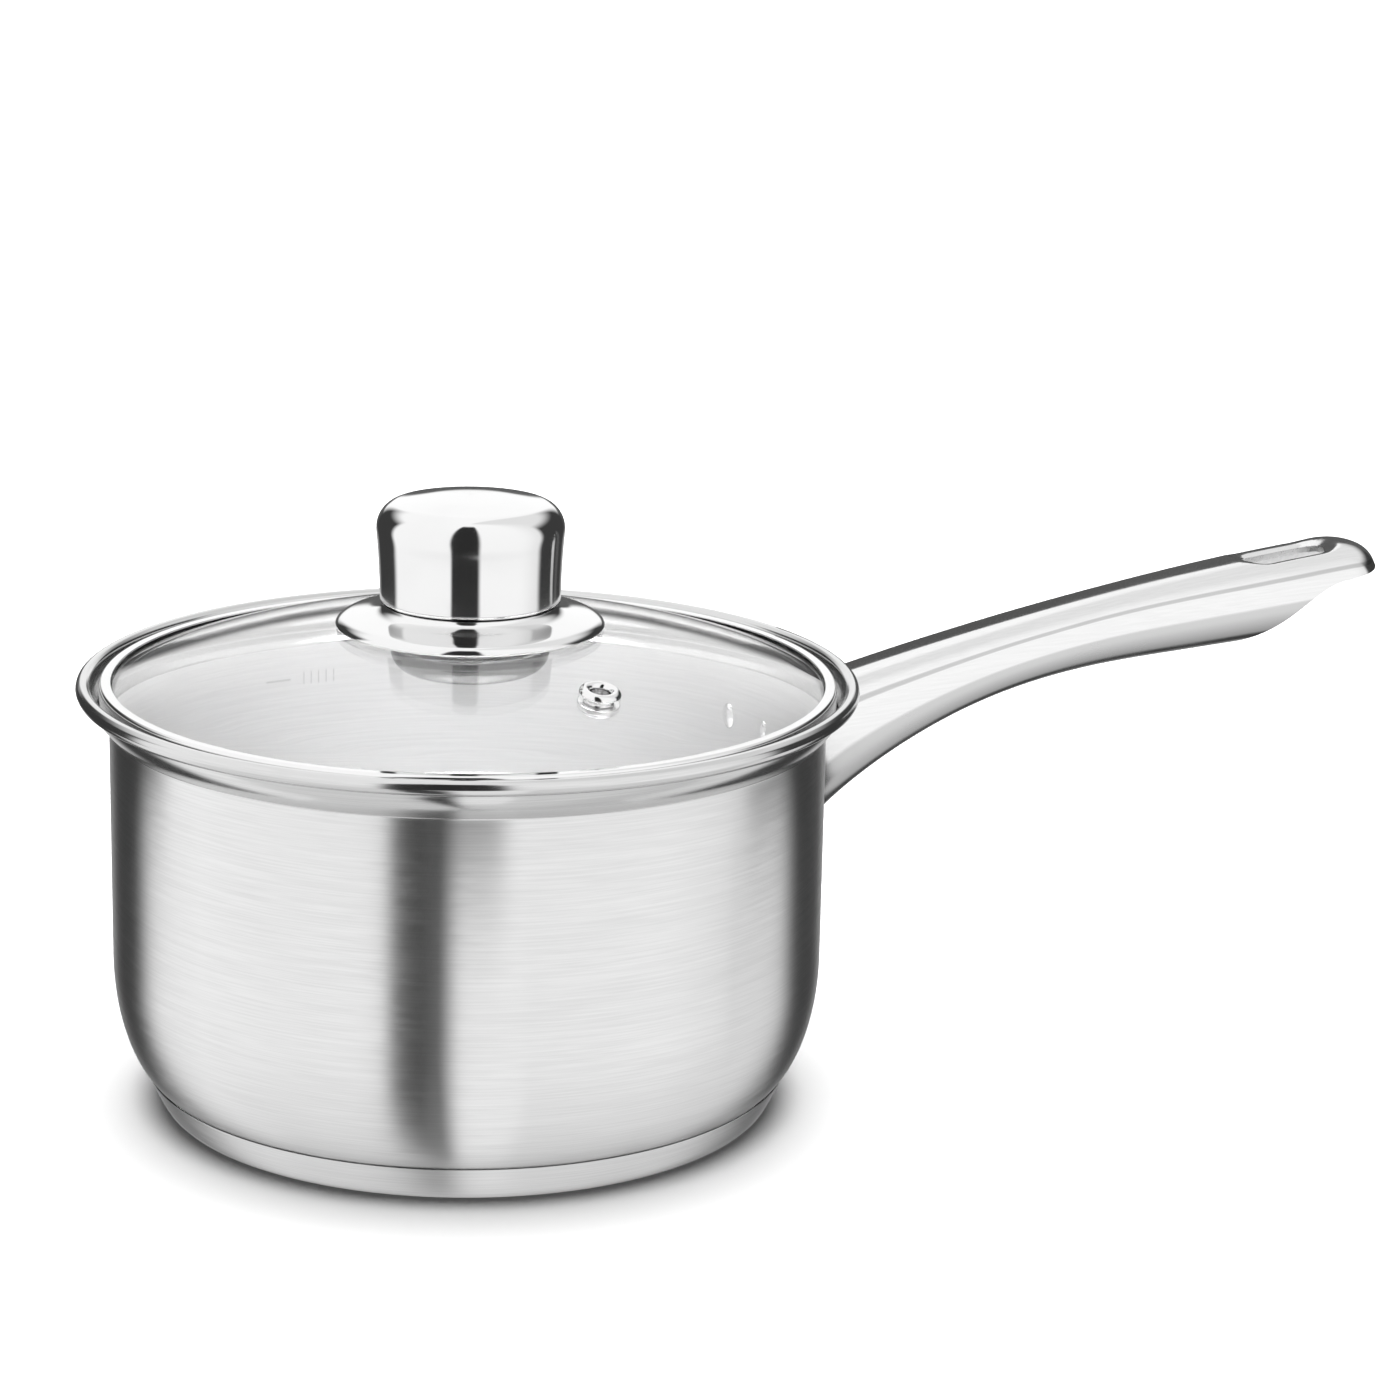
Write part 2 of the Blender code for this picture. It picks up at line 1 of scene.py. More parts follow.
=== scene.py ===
"""Visual model of a 16 cm stainless saucepan with a glass lid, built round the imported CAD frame.

The pan's axis is the Z axis, its handle points along +X, and everything is in metres. Sizes that are written
in millimetres are turned into metres by MILLIMETRE.
"""

import json
import math

import bmesh
import bpy
from mathutils import Matrix, Vector


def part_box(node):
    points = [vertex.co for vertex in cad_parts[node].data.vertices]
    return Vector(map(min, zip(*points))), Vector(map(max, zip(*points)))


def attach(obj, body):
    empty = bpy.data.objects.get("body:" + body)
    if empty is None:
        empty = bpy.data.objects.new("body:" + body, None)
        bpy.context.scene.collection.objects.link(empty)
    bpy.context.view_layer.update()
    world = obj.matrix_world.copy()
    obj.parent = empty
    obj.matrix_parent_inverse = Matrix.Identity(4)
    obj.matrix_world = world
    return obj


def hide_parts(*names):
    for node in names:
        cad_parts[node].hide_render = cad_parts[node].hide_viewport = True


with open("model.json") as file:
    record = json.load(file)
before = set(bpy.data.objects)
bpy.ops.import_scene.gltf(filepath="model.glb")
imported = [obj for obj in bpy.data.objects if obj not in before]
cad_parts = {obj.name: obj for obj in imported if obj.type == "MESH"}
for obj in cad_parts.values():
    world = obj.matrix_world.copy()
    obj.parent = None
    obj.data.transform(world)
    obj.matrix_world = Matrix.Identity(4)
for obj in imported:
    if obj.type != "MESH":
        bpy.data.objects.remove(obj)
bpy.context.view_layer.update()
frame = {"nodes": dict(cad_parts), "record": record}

MILLIMETRE = 0.001
TOUCHING = 1e-6  # metres; places closer than this are the same
ROUND_STEPS = 256  # facets round a large turned piece
FINE_STEPS = 144  # facets round a small one
VENT_STEPS = 96  # facets round the steam vent
SHARP_ANGLE = math.radians(35)
CORNER_SHARE = 0.42  # the most of a straight line that one rounded corner may take

# The camera, and how far the handle is turned away from the picture's plane.
HANDLE_TURN = math.radians(28.0)
VIEW_AZIMUTH = -math.pi / 2 - HANDLE_TURN
TOWARDS = Vector((math.cos(VIEW_AZIMUTH), math.sin(VIEW_AZIMUTH), 0.0))  # towards the photographer
RIGHTWARDS = Vector((-TOWARDS.y, TOWARDS.x, 0.0))
VIEW_PITCH = 0.259784
VIEW_YAW = 0.061176
VIEW_ROLL = 0.021898
VIEW_PLACE = Vector((0.0, -0.850575, 0.318936))

# Pan. Sizes from here on are in millimetres, and heights are above the floor.
WALL_RADIUS = 80.7
SHELL_SHEET = 0.8
SEAT_DEPTH = 10.1  # how far the flared seat reaches down from the top of the lip
WELD_PLACES = ((1.5, 74.0), (11.0, 75.5))  # bearing in degrees, and height
WELD_HALF_WIDTH = 2.0
WELD_HALF_HEIGHT = 3.0
WELD_BULGE = 0.7
WELD_SUNK = 0.05  # how far the edge of a weld mark lies inside the wall

# Handle: a tube with an oval section, cut open underneath towards its tip.
HANDLE_SHEET = 1.5
OUTER_POINTS = 120  # round the handle's outer skin
HOLLOW_POINTS = 72  # round its inner skin
ROOT_TRIM = 0.4  # space between the wall and the end of the tube
CROWN_AT_ROOT = 88.4
CROWN_ROOT_X = 104.4
CROWN_SLOPE = 0.1824
CROWN_RADIUS = 1107.0
KEEL_LEVEL = 81.75
KEEL_LEVEL_X = 190.0
KEEL_SLOPE = 0.0232
KEEL_DROP = 31.7
KEEL_POWER = 2.6
GRIP_HALF_WIDTH = 10.5
GRIP_START_X = 150.0
GRIP_END_X = 165.0
TIP_HALF_WIDTH = 13.0
ROOT_HALF_WIDTH = 12.2
ROOT_FLARE = 6.5
ROOT_FLARE_LENGTH = 6.0
HANDLE_TIP_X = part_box("handle_shell")[1].x / MILLIMETRE
NOSE_LENGTH = 12.9
NOSE_POWER = 2.4
WIDEST_SHARE = 0.55
SECTION_POWER = 2.3
TONGUE_UNDERSIDE = 97.2
TONGUE_SLOPE = 0.13
SCOOP_START_X = 209.2
SCOOP_END_X = 247.0
SLOT_X = 234.5
SLOT_LENGTH = 25.0
SLOT_WIDTH = 8.4
SLOT_DISH_WIDTH = 3.4
SLOT_DISH_DEPTH = 2.1

# Lid
GLASS_THICKNESS = 3.5
GLASS_SPHERE = 233.6
GLASS_HOLE_RADIUS = 5.6
DARK_EDGE_WIDTH = 0.4  # the width of the outermost ring of the glass, which is ground and coloured dark
VENT_BEARING = math.radians(-86.0)
VENT_DISTANCE = 52.5
VENT_BORE = 2.15
VENT_BARREL = 2.9
VENT_FLANGE = 4.65
VENT_CREST = 1.3
VENT_GLASS_HOLE = 3.3
WASHER_THICKNESS = 1.1
CLINCH = 0.6
CLINCH_GAP = 0.35
CLINCH_REACH = 0.9
GAP = 0.3  # space between pieces that touch on the real lid

# ---------------------------------------------------------------- outlines


def profile_of(node):
    """The (radius, height) points of a turned CAD node, in order, and whether they close on themselves.

    Where the node has a flat middle with no point on the axis, they stop at the edge of that flat.
    """
    mesh = frame["nodes"][node].data
    links = {}
    for edge in mesh.edges:
        ends = [mesh.vertices[index].co for index in edge.vertices]
        if all(abs(end.y) < TOUCHING and end.x > -TOUCHING for end in ends):
            a, b = [(round(max(end.x, 0.0), 6), round(end.z, 6)) for end in ends]
            if a != b:
                links.setdefault(a, set()).add(b)
                links.setdefault(b, set()).add(a)
    ends = sorted(point for point, near in links.items() if len(near) == 1)
    path = [ends[0] if ends else min(links)]
    while True:
        onward = sorted(point for point in links[path[-1]] if point not in path)
        if not onward:
            break
        path.append(onward[0])
    return [Vector(point) for point in path], not ends


def turn_at(points, index, closed):
    """The line into and the line out of one point of an outline. An open end has only one of them."""
    count = len(points)
    before = points[index - 1] if index or closed else None
    after = points[(index + 1) % count] if index < count - 1 or closed else None
    way_in = points[index] - before if before is not None else None
    way_out = after - points[index] if after is not None else None
    return way_in, way_out


def filleted(points, closed, radius, steps=4):
    """The outline with each sharp corner turned into a small arc."""
    made = []
    for index, point in enumerate(points):
        way_in, way_out = turn_at(points, index, closed)
        if way_in is None or way_out is None or way_in.angle(way_out) < SHARP_ANGLE:
            made.append(point)
            continue
        reach = min(radius, CORNER_SHARE * way_in.length, CORNER_SHARE * way_out.length)
        start = point - way_in.normalized() * reach
        end = point + way_out.normalized() * reach
        for step in range(steps + 1):
            t = step / steps
            made.append(start * (1 - t) ** 2 + point * (2 * t * (1 - t)) + end * t**2)
    return made


def smoothed(points, closed, spacing):
    """The outline drawn as a smooth curve through its points, which keeps its straight lines straight."""
    count = len(points)
    tangents = []
    for index in range(count):
        way_in, way_out = turn_at(points, index, closed)
        if way_in is None or way_out is None:
            tangents.append((way_in or way_out).normalized())
            continue
        weighed = way_in * way_in.length + way_out * way_out.length
        tangents.append(weighed.normalized())
    made = []
    for index in range(count if closed else count - 1):
        start, end = points[index], points[(index + 1) % count]
        length = (end - start).length
        leave, arrive = tangents[index], tangents[(index + 1) % count]
        straight = (end - start).normalized()
        if leave.angle(straight) > SHARP_ANGLE or arrive.angle(straight) > SHARP_ANGLE:
            leave = arrive = straight
        pieces = max(1, math.ceil(length / spacing))
        for step in range(pieces):
            t = step / pieces
            made.append(
                start * (2 * t**3 - 3 * t**2 + 1)
                + leave * length * (t**3 - 2 * t**2 + t)
                + end * (3 * t**2 - 2 * t**3)
                + arrive * length * (t**3 - t**2)
            )
    if not closed:
        made.append(points[-1])
    return made


# ---------------------------------------------------------------- meshes


def new_object(name, points, faces, materials):
    """A smooth-shaded mesh object, linked to the scene."""
    mesh = bpy.data.meshes.new(name)
    mesh.from_pydata(points, [], faces)
    mesh.shade_smooth()
    for material in materials:
        mesh.materials.append(material)
    made = bpy.data.objects.new(name, mesh)
    bpy.context.scene.collection.objects.link(made)
    return made


def spun(name, outline, closed, steps, materials):
    """A shape of revolution about Z. It is a solid if its outline is closed or ends on the axis."""
    area = sum(a.x * b.y - b.x * a.y for a, b in zip(outline, outline[1:] + outline[:1]))
    if area < 0:
        outline = outline[::-1]
    points = []
    rows = []
    for radius, height in outline:
        if radius < TOUCHING:
            rows.append([len(points)] * steps)
            points.append((0.0, 0.0, height))
            continue
        rows.append(list(range(len(points), len(points) + steps)))
        for step in range(steps):
            angle = 2 * math.pi * step / steps
            points.append((radius * math.cos(angle), radius * math.sin(angle), height))
    pairs = list(zip(rows, rows[1:]))
    if closed:
        pairs.append((rows[-1], rows[0]))
    faces = []
    for row, above in pairs:
        for step in range(steps):
            following = (step + 1) % steps
            face = list(dict.fromkeys([row[step], row[following], above[following], above[step]]))
            if len(face) > 2:
                faces.append(face)
    made = new_object(name, points, faces, materials)
    made.data.set_sharp_from_angle(angle=SHARP_ANGLE)
    return made


def finer(node, name, steps, spacing, fillet, materials):
    """A turned CAD node again, with round corners and many more facets."""
    points, closed = profile_of(node)
    outline = smoothed(filleted(points, closed, fillet * MILLIMETRE), closed, spacing * MILLIMETRE)
    return spun(name, outline, closed, steps, materials)


def settled(piece, body, slot, *nodes):
    """Fixes a piece to its body and hides the CAD nodes that it stands for. The slot, its finish's name, is
    not used.
    """
    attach(piece, body)
    if nodes:
        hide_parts(*nodes)
    return piece


def cut(target, cutter):
    """Subtracts the cutter for good and removes it."""
    step = target.modifiers.new("cut", "BOOLEAN")
    step.operation = "DIFFERENCE"
    step.solver = "EXACT"
    step.material_mode = "TRANSFER"
    step.object = cutter
    shape = bpy.data.meshes.new_from_object(target.evaluated_get(bpy.context.evaluated_depsgraph_get()))
    target.modifiers.clear()
    target.data = shape
    bpy.data.objects.remove(cutter)


# ---------------------------------------------------------------- material nodes


class Graph:
    """A short way to write node trees."""

    def __init__(self, tree):
        self.tree = tree
        tree.nodes.clear()

    def node(self, kind, inputs=(), **settings):
        """A new node. Each input is wired to a socket, or set to a value."""
        made = self.tree.nodes.new(kind)
        for key, value in settings.items():
            setattr(made, key, value)
        for key, value in dict(inputs).items():
            self.feed(made.inputs[key], value)
        return made

    def feed(self, socket, value):
        """Wires a socket to another one, or sets its value."""
        if isinstance(value, bpy.types.NodeSocket):
            self.tree.links.new(value, socket)
        else:
            socket.default_value = value

    def place(self):
        """Object coordinates."""
        return self.node("ShaderNodeTexCoord").outputs["Object"]

    def parts(self, vector):
        """The x, y and z of a vector."""
        return self.node("ShaderNodeSeparateXYZ", {0: vector}).outputs

    def along(self, vector, way):
        """How far a vector reaches in a direction."""
        made = self.node("ShaderNodeVectorMath", {0: vector, 1: way}, operation="DOT_PRODUCT")
        return made.outputs["Value"]

    def math(self, operation, a, b=0.0):
        return self.node("ShaderNodeMath", {0: a, 1: b}, operation=operation).outputs[0]

    def add(self, a, b):
        return self.math("ADD", a, b)

    def less(self, a, b):
        return self.math("SUBTRACT", a, b)

    def times(self, a, b):
        return self.math("MULTIPLY", a, b)

    def step(self, value, low, high, start=0.0, end=1.0):
        """Rises smoothly from start to end as the value goes from low to high."""
        wired = {"Value": value, "From Min": low, "From Max": high, "To Min": start, "To Max": end}
        return self.node("ShaderNodeMapRange", wired, interpolation_type="SMOOTHSTEP").outputs[0]

    def mix(self, a, b, share):
        return self.add(self.times(a, self.less(1.0, share)), self.times(b, share))

    def noise(self, vector, scale, detail=2.0, roughness=0.5):
        wired = {"Vector": vector, "Scale": scale, "Detail": detail, "Roughness": roughness}
        return self.node("ShaderNodeTexNoise", wired).outputs["Fac"]

    def colour(self, level):
        return self.node("ShaderNodeCombineColor", {0: level, 1: level, 2: level}).outputs[0]

    def within(self, value, low, high, edge):
        """1 between low and high, 0 outside them."""
        rise = self.step(value, low - edge, low + edge)
        return self.times(rise, self.step(value, high - edge, high + edge, 1.0, 0.0))


def new_material(name):
    """A material with an empty node tree, and the means to write it."""
    material = bpy.data.materials.new(name)
    material.use_nodes = True
    return material, Graph(material.node_tree)


def grain_round(graph, along, across):
    """Fine lines round the pan's axis: long the way the lines run, and narrow across them."""
    x, y, z = graph.parts(graph.place())
    radius = graph.math("SQRT", graph.add(graph.times(x, x), graph.times(y, y)))
    slant = graph.times(graph.add(z, radius), across)
    scaled = {0: graph.times(x, along), 1: graph.times(y, along), 2: slant}
    lines = graph.node("ShaderNodeCombineXYZ", scaled).outputs[0]
    return graph.noise(lines, 1.0, 3.0, 0.6)


def surface(graph, colour, roughness, metallic=1.0, normal=None, anisotropic=0.0):
    """The Principled shader of a material, wired to its output."""
    wired = {"Base Color": colour, "Roughness": roughness, "Metallic": metallic}
    if anisotropic:
        wired["Anisotropic"] = anisotropic
        wired["Anisotropic Rotation"] = 0.25
        wired["Tangent"] = graph.node("ShaderNodeTangent", direction_type="RADIAL", axis="Z").outputs[0]
    if normal is not None:
        wired["Normal"] = normal
    shader = graph.node("ShaderNodeBsdfPrincipled", wired)
    graph.node("ShaderNodeOutputMaterial", {"Surface": shader.outputs[0]})
    return shader


def bump(graph, height, depth_mm):
    """A normal pressed in and out by a height that goes from 0 to 1."""
    wired = {"Height": height, "Distance": depth_mm * MILLIMETRE, "Strength": 1.0}
    return graph.node("ShaderNodeBump", wired).outputs[0]


def brushed_steel(name, shade, roughness, anisotropic, depth_mm, metallic=1.0, marks=False):
    """Steel brushed round the axis, with fine streaks, cloudy wear and, if asked for, a capacity mark."""
    material, graph = new_material(name)
    streaks = grain_round(graph, 45.0, 2600.0)
    scuffs = grain_round(graph, 90.0, 700.0)
    cloud = graph.noise(graph.place(), 14.0)
    level = graph.step(streaks, 0.25, 0.75, 0.93 * shade, 1.03 * shade)
    level = graph.times(level, graph.step(cloud, 0.3, 0.7, 0.975, 1.0))
    rough = graph.step(scuffs, 0.3, 0.75, roughness - 0.02, roughness + 0.03)
    if marks:
        level = graph.times(level, capacity_mark(graph))
    surface(graph, graph.colour(level), rough, metallic, bump(graph, streaks, depth_mm), anisotropic)
    return material


def capacity_mark(graph):
    """A faint dash with a few short ticks beside it, on the wall that faces the photographer.

    Heights are in metres, and the bearings of a patch are in degrees.
    """
    soft_height, soft_bearing = 0.0001, 0.002
    ticks_in_radian = 40.0
    darkening = 0.3
    x, y, z = graph.parts(graph.place())
    bearing = graph.math("ARCTAN2", y, x)

    def patch(low, high, start, end):
        tall = graph.within(z, low, high, soft_height)
        return graph.times(tall, graph.within(bearing, math.radians(start), math.radians(end), soft_bearing))

    comb = graph.math("FRACT", graph.times(bearing, ticks_in_radian))
    dash = patch(0.0794, 0.0799, 95.0, 100.0)
    ticks = graph.times(patch(0.0780, 0.0812, 86.5, 92.5), graph.within(comb, 0.42, 0.58, 0.03))
    return graph.less(1.0, graph.times(graph.math("MAXIMUM", dash, ticks), darkening))


def polished_steel(name, shade, roughness):
    """Mirror-polished steel with faint polishing lines and smudges."""
    material, graph = new_material(name)
    smudge = graph.noise(graph.place(), 60.0, 3.0)
    polish = grain_round(graph, 120.0, 1500.0)
    rough = graph.add(graph.step(smudge, 0.35, 0.7, roughness, roughness + 0.03), graph.times(polish, 0.02))
    level = graph.step(smudge, 0.3, 0.8, shade, shade - 0.02)
    surface(graph, graph.colour(level), rough, 1.0, bump(graph, polish, 0.0006))
    return material


def handle_steel():
    """Polished steel lined along the handle. Its underside is rougher and has painted shade that darkens its
    colour downwards, and a painted reflection draws a soft dark line over its flanks.
    """
    material, graph = new_material("handle_steel")
    place = graph.place()
    lines = graph.node("ShaderNodeMapping", {"Vector": place, "Scale": (40.0, 1800.0, 1800.0)}).outputs[0]
    polish = graph.noise(lines, 1.0, 3.0, 0.6)
    smudge = graph.noise(place, 50.0, 3.0)
    rough = graph.add(graph.step(smudge, 0.35, 0.7, 0.10, 0.14), graph.times(polish, 0.03))
    upward = graph.parts(graph.node("ShaderNodeTexCoord").outputs["Normal"])[2]
    under = graph.step(upward, 0.02, 0.07, 1.0, 0.0)
    # painted shade: the underside's colour falls from 0.60 to 0.34 the more it faces down; only its extra
    # roughness is a real finish
    satin = graph.step(upward, -1.1, 0.1, 0.34, 0.60)
    rough = graph.add(rough, graph.times(under, 0.12))
    level = graph.mix(graph.step(polish, 0.3, 0.75, 0.80, 0.84), satin, under)
    # painted reflection: a soft band over the flanks, where the normal leans up by a set amount, is darkened
    # to 0.66 as a dark reflected line
    painted_reflection_line = graph.within(upward, 0.51, 0.60, 0.02)
    level = graph.times(level, graph.mix(1.0, 0.66, painted_reflection_line))
    surface(graph, graph.colour(level), rough, 1.0, bump(graph, polish, 0.0008))
    return material


def plain_metal(name, shade, roughness, metallic=1.0):
    """Bare stamped metal or moulded rubber, slightly uneven."""
    material, graph = new_material(name)
    grain = graph.noise(graph.place(), 900.0, 4.0)
    level = graph.step(grain, 0.3, 0.7, shade * 0.9, shade)
    rough = graph.step(grain, 0.3, 0.7, roughness, roughness + 0.1)
    surface(graph, graph.colour(level), rough, metallic, bump(graph, grain, 0.02))
    return material


def clear_glass():
    """Tempered glass with a faint film. Lamps shine through it."""
    material, graph = new_material("lid_glass_clear")
    film = graph.noise(graph.place(), 30.0, 3.0)
    wired = {
        "Base Color": (0.99, 0.99, 0.99, 1.0),
        "Roughness": graph.step(film, 0.4, 0.8, 0.0, 0.012),
        "Transmission Weight": 1.0,
        "IOR": 1.5,
    }
    shader = graph.node("ShaderNodeBsdfPrincipled", wired)
    open_way = graph.node("ShaderNodeBsdfTransparent", {"Color": (0.96, 0.96, 0.96, 1.0)})
    lamp_ray = graph.node("ShaderNodeLightPath").outputs["Is Shadow Ray"]
    blend = graph.node("ShaderNodeMixShader", {0: lamp_ray, 1: shader.outputs[0], 2: open_way.outputs[0]})
    graph.node("ShaderNodeOutputMaterial", {"Surface": blend.outputs[0]})
    return material


# ---------------------------------------------------------------- pan


def pan_shell():
    """The pressed and rolled shell. Its inside is brighter and less finely brushed than its outside.

    Known fault: the outline stops at the edge of the flat floor, so the floor's disc is missing here.
    """
    inside_slot, lip_slot = 1, 2
    outside = brushed_steel("brushed_outside", 0.80, 0.30, 0.97, 0.004)
    inside = brushed_steel("brushed_inside", 0.84, 0.42, 0.6, 0.006, metallic=0.96, marks=True)
    lip = brushed_steel("satin_lip", 0.68, 0.15, 0.5, 0.002)
    shell = finer("pan_body", "pan_shell", ROUND_STEPS, 1.2, 0.3, [outside, inside, lip])
    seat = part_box("pan_body")[1].z - SEAT_DEPTH * MILLIMETRE
    wall_zone = WALL_RADIUS / 2 * MILLIMETRE
    for face in shell.data.polygons:
        centre = face.center
        radius = math.hypot(centre.x, centre.y)
        outward = face.normal.x * centre.x + face.normal.y * centre.y
        if centre.z > seat:
            face.material_index = lip_slot
        elif (outward < 0 and radius > wall_zone) or face.normal.z > 0.3:
            face.material_index = inside_slot
    return settled(shell, "pan", "brushed_steel", "pan_body")


def base_cup():
    """The satin cup under the aluminium disc. Known fault: its flat middle is missing, as the shell's is."""
    satin = brushed_steel("satin_base", 0.78, 0.36, 0.75, 0.004)
    cup = finer("base_cap", "base_cup", ROUND_STEPS, 1.0, 0.25, [satin])
    return settled(cup, "pan", "satin_steel", "base_cap")


def eased(x, start, end):
    """Rises smoothly from 0 at start to 1 at end."""
    share = min(max((x - start) / (end - start), 0.0), 1.0)
    return share * share * (3 - 2 * share)


def rounding(share):
    """How much of the full height or width is left at a share of the way into the nose."""
    return max(1 - min(share, 1.0) ** NOSE_POWER, 0.0) ** (1 / NOSE_POWER)


def crown_height(x):
    """The height of the handle's top line, which leaves the pan rising and bends over in an arc."""
    run = x - CROWN_ROOT_X
    return CROWN_AT_ROOT + CROWN_SLOPE * run - run**2 / (2 * CROWN_RADIUS)


def keel_height(x):
    """The height of the handle's lowest line, which sweeps down towards the wall."""
    share = max(0.0, (KEEL_LEVEL_X - x) / (KEEL_LEVEL_X - WALL_RADIUS))
    return KEEL_LEVEL + KEEL_SLOPE * (x - KEEL_LEVEL_X) - KEEL_DROP * share**KEEL_POWER


def half_width(x, inset):
    """Half the handle's width: a little wider at both ends, flared at the wall and round at the tip."""
    narrowing = eased(x, WALL_RADIUS, GRIP_START_X) * (GRIP_HALF_WIDTH - ROOT_HALF_WIDTH)
    widening = eased(x, GRIP_END_X, SLOT_X) * (TIP_HALF_WIDTH - GRIP_HALF_WIDTH)
    flare = ROOT_FLARE * math.exp(-(x - WALL_RADIUS) / ROOT_FLARE_LENGTH)
    width = ROOT_HALF_WIDTH + narrowing + widening + flare - inset
    round_start = HANDLE_TIP_X - TIP_HALF_WIDTH
    if x > round_start:
        width *= rounding((x - round_start) / (TIP_HALF_WIDTH - inset))
    return width


def slot_dish(x, y):
    """How far the top is pressed down round the hanging slot."""
    straight = SLOT_LENGTH / 2 - SLOT_WIDTH / 2
    beyond = max(abs(x - SLOT_X) - straight, 0.0)
    from_edge = math.hypot(beyond, y) - SLOT_WIDTH / 2
    share = min(max(1 - from_edge / SLOT_DISH_WIDTH, 0.0), 1.0)
    return SLOT_DISH_DEPTH * share**1.5


def handle_section(x, inset, count):
    """One section of the handle, in metres: a superellipse that is taller above its widest line."""
    nose_start = HANDLE_TIP_X - NOSE_LENGTH
    crown = crown_height(x) - inset
    if x > nose_start:
        rise = crown_height(nose_start) - TONGUE_UNDERSIDE - inset
        crown = TONGUE_UNDERSIDE + rise * rounding((x - nose_start) / (NOSE_LENGTH - inset))
    width = half_width(x, inset)
    keel = keel_height(x) + inset
    widest = crown - WIDEST_SHARE * (crown - keel)
    section = []
    for index in range(count):
        angle = 2 * math.pi * index / count
        across = math.copysign(abs(math.cos(angle)) ** (2 / SECTION_POWER), math.cos(angle))
        along = math.copysign(abs(math.sin(angle)) ** (2 / SECTION_POWER), math.sin(angle))
        reach = crown - widest if along > 0 else widest - keel
        height = widest + reach * along
        if along > 0:
            height -= slot_dish(x, width * across)
        section.append(Vector((x, width * across, height)) * MILLIMETRE)
    return section


def lofted(name, sections, materials):
    """A solid through a row of closed sections, capped at both ends."""
    count = len(sections[0])
    points = [point for section in sections for point in section]
    faces = [list(range(count))[::-1], list(range(len(points) - count, len(points)))]
    for start in range(0, len(points) - count, count):
        for index in range(count):
            following = (index + 1) % count
            faces.append([start + index, start + following, start + count + following, start + count + index])
    return new_object(name, points, faces, materials)


def handle_tube(name, inset, count, materials):
    """The tube's outer or inner skin, with more stations where it bends most."""
    start = WALL_RADIUS - 4.0
    flare_end = WALL_RADIUS + 20.0
    round_start = HANDLE_TIP_X - TIP_HALF_WIDTH
    end_steps = 24
    long_steps = 90
    to_tip = end_steps + 0.2  # the last station stays short of the tip, where the tube has no width
    stations = [start + (flare_end - start) * step / end_steps for step in range(end_steps)]
    stations += [flare_end + (round_start - flare_end) * step / long_steps for step in range(long_steps)]
    for step in range(end_steps):
        stations.append(round_start + (TIP_HALF_WIDTH - inset) * math.sin(math.radians(90.0 * step / to_tip)))
    return lofted(name, [handle_section(x, inset, count) for x in stations], materials)


def extruded(name, outline, low, high, upright, materials):
    """A prism between two levels: upright along Z, or lying along Y with its outline in x and z."""
    sections = []
    for depth in (low, high):
        corners = [(a, b, depth) if upright else (a, depth, b) for a, b in outline]
        sections.append([Vector(corner) * MILLIMETRE for corner in corners])
    made = lofted(name, sections, materials)
    shape = bmesh.new()
    shape.from_mesh(made.data)
    bmesh.ops.recalc_face_normals(shape, faces=shape.faces)
    shape.to_mesh(made.data)
    shape.free()
    return made


def scoop(materials):
    """What is removed under the tip: the tube's underside, up an S curve to the tongue."""
    clearance = 0.2
    steps = 40
    low = keel_height(SCOOP_START_X) - clearance
    curve = []
    for step in range(steps + 1):
        x = SCOOP_START_X + (SCOOP_END_X - SCOOP_START_X) * step / steps
        curve.append((x, low + (TONGUE_UNDERSIDE - low) * eased(x, SCOOP_START_X, SCOOP_END_X)))
    floor = low - 20.0
    beyond = HANDLE_TIP_X + 10.0
    outline = [(SCOOP_START_X, floor)] + curve
    outline += [(beyond, TONGUE_UNDERSIDE + TONGUE_SLOPE * (beyond - SCOOP_END_X)), (beyond, floor)]
    return extruded("scoop", outline, -2 * TIP_HALF_WIDTH, 2 * TIP_HALF_WIDTH, False, materials)


def slot_punch(materials):
    """The hanging slot as a prism with round ends, which passes right through the tongue."""
    radius = SLOT_WIDTH / 2
    offset = SLOT_LENGTH / 2 - radius
    end_steps = 24
    low = TONGUE_UNDERSIDE - 4.0
    high = CROWN_AT_ROOT + 30.0
    outline = []
    for centre, start in ((SLOT_X + offset, -90.0), (SLOT_X - offset, 90.0)):
        for step in range(end_steps + 1):
            angle = math.radians(start + 180.0 * step / end_steps)
            outline.append((centre + radius * math.cos(angle), radius * math.sin(angle)))
    return extruded("slot_punch", outline, low, high, True, materials)


def wall_core(materials):
    """The pan's inside and wall, which the tube's root is trimmed to."""
    reach = (WALL_RADIUS + ROOT_TRIM) * MILLIMETRE
    low, high = 0.04, 0.097  # metres; they pass below and above the tube's root
    outline = [Vector((0.0, low)), Vector((reach, low)), Vector((reach, high)), Vector((0.0, high))]
    return spun("wall_core", outline, False, ROUND_STEPS, materials)


def handle_grip():
    """The hollow handle, cut open under its tip, slotted, and trimmed to the wall. It throws no shadow."""
    grip = handle_tube("handle_grip", 0.0, OUTER_POINTS, [handle_steel()])
    edge = [plain_metal("cut_edge", 0.75, 0.25)]
    # painted light: the tube's inside gets a lighter steel than the handle's, so the hollow seen through the
    # slot looks lit
    inner = [plain_metal("tube_inside_painted_light", 0.92, 0.38)]
    hollow = handle_tube("hollow", HANDLE_SHEET, HOLLOW_POINTS, inner)
    for cutter in (hollow, scoop(edge), slot_punch(edge), wall_core(edge)):
        cut(grip, cutter)
    grip.data.set_sharp_from_angle(angle=SHARP_ANGLE)
    grip.visible_shadow = False
    return settled(grip, "pan", "polished_steel", "handle_shell")


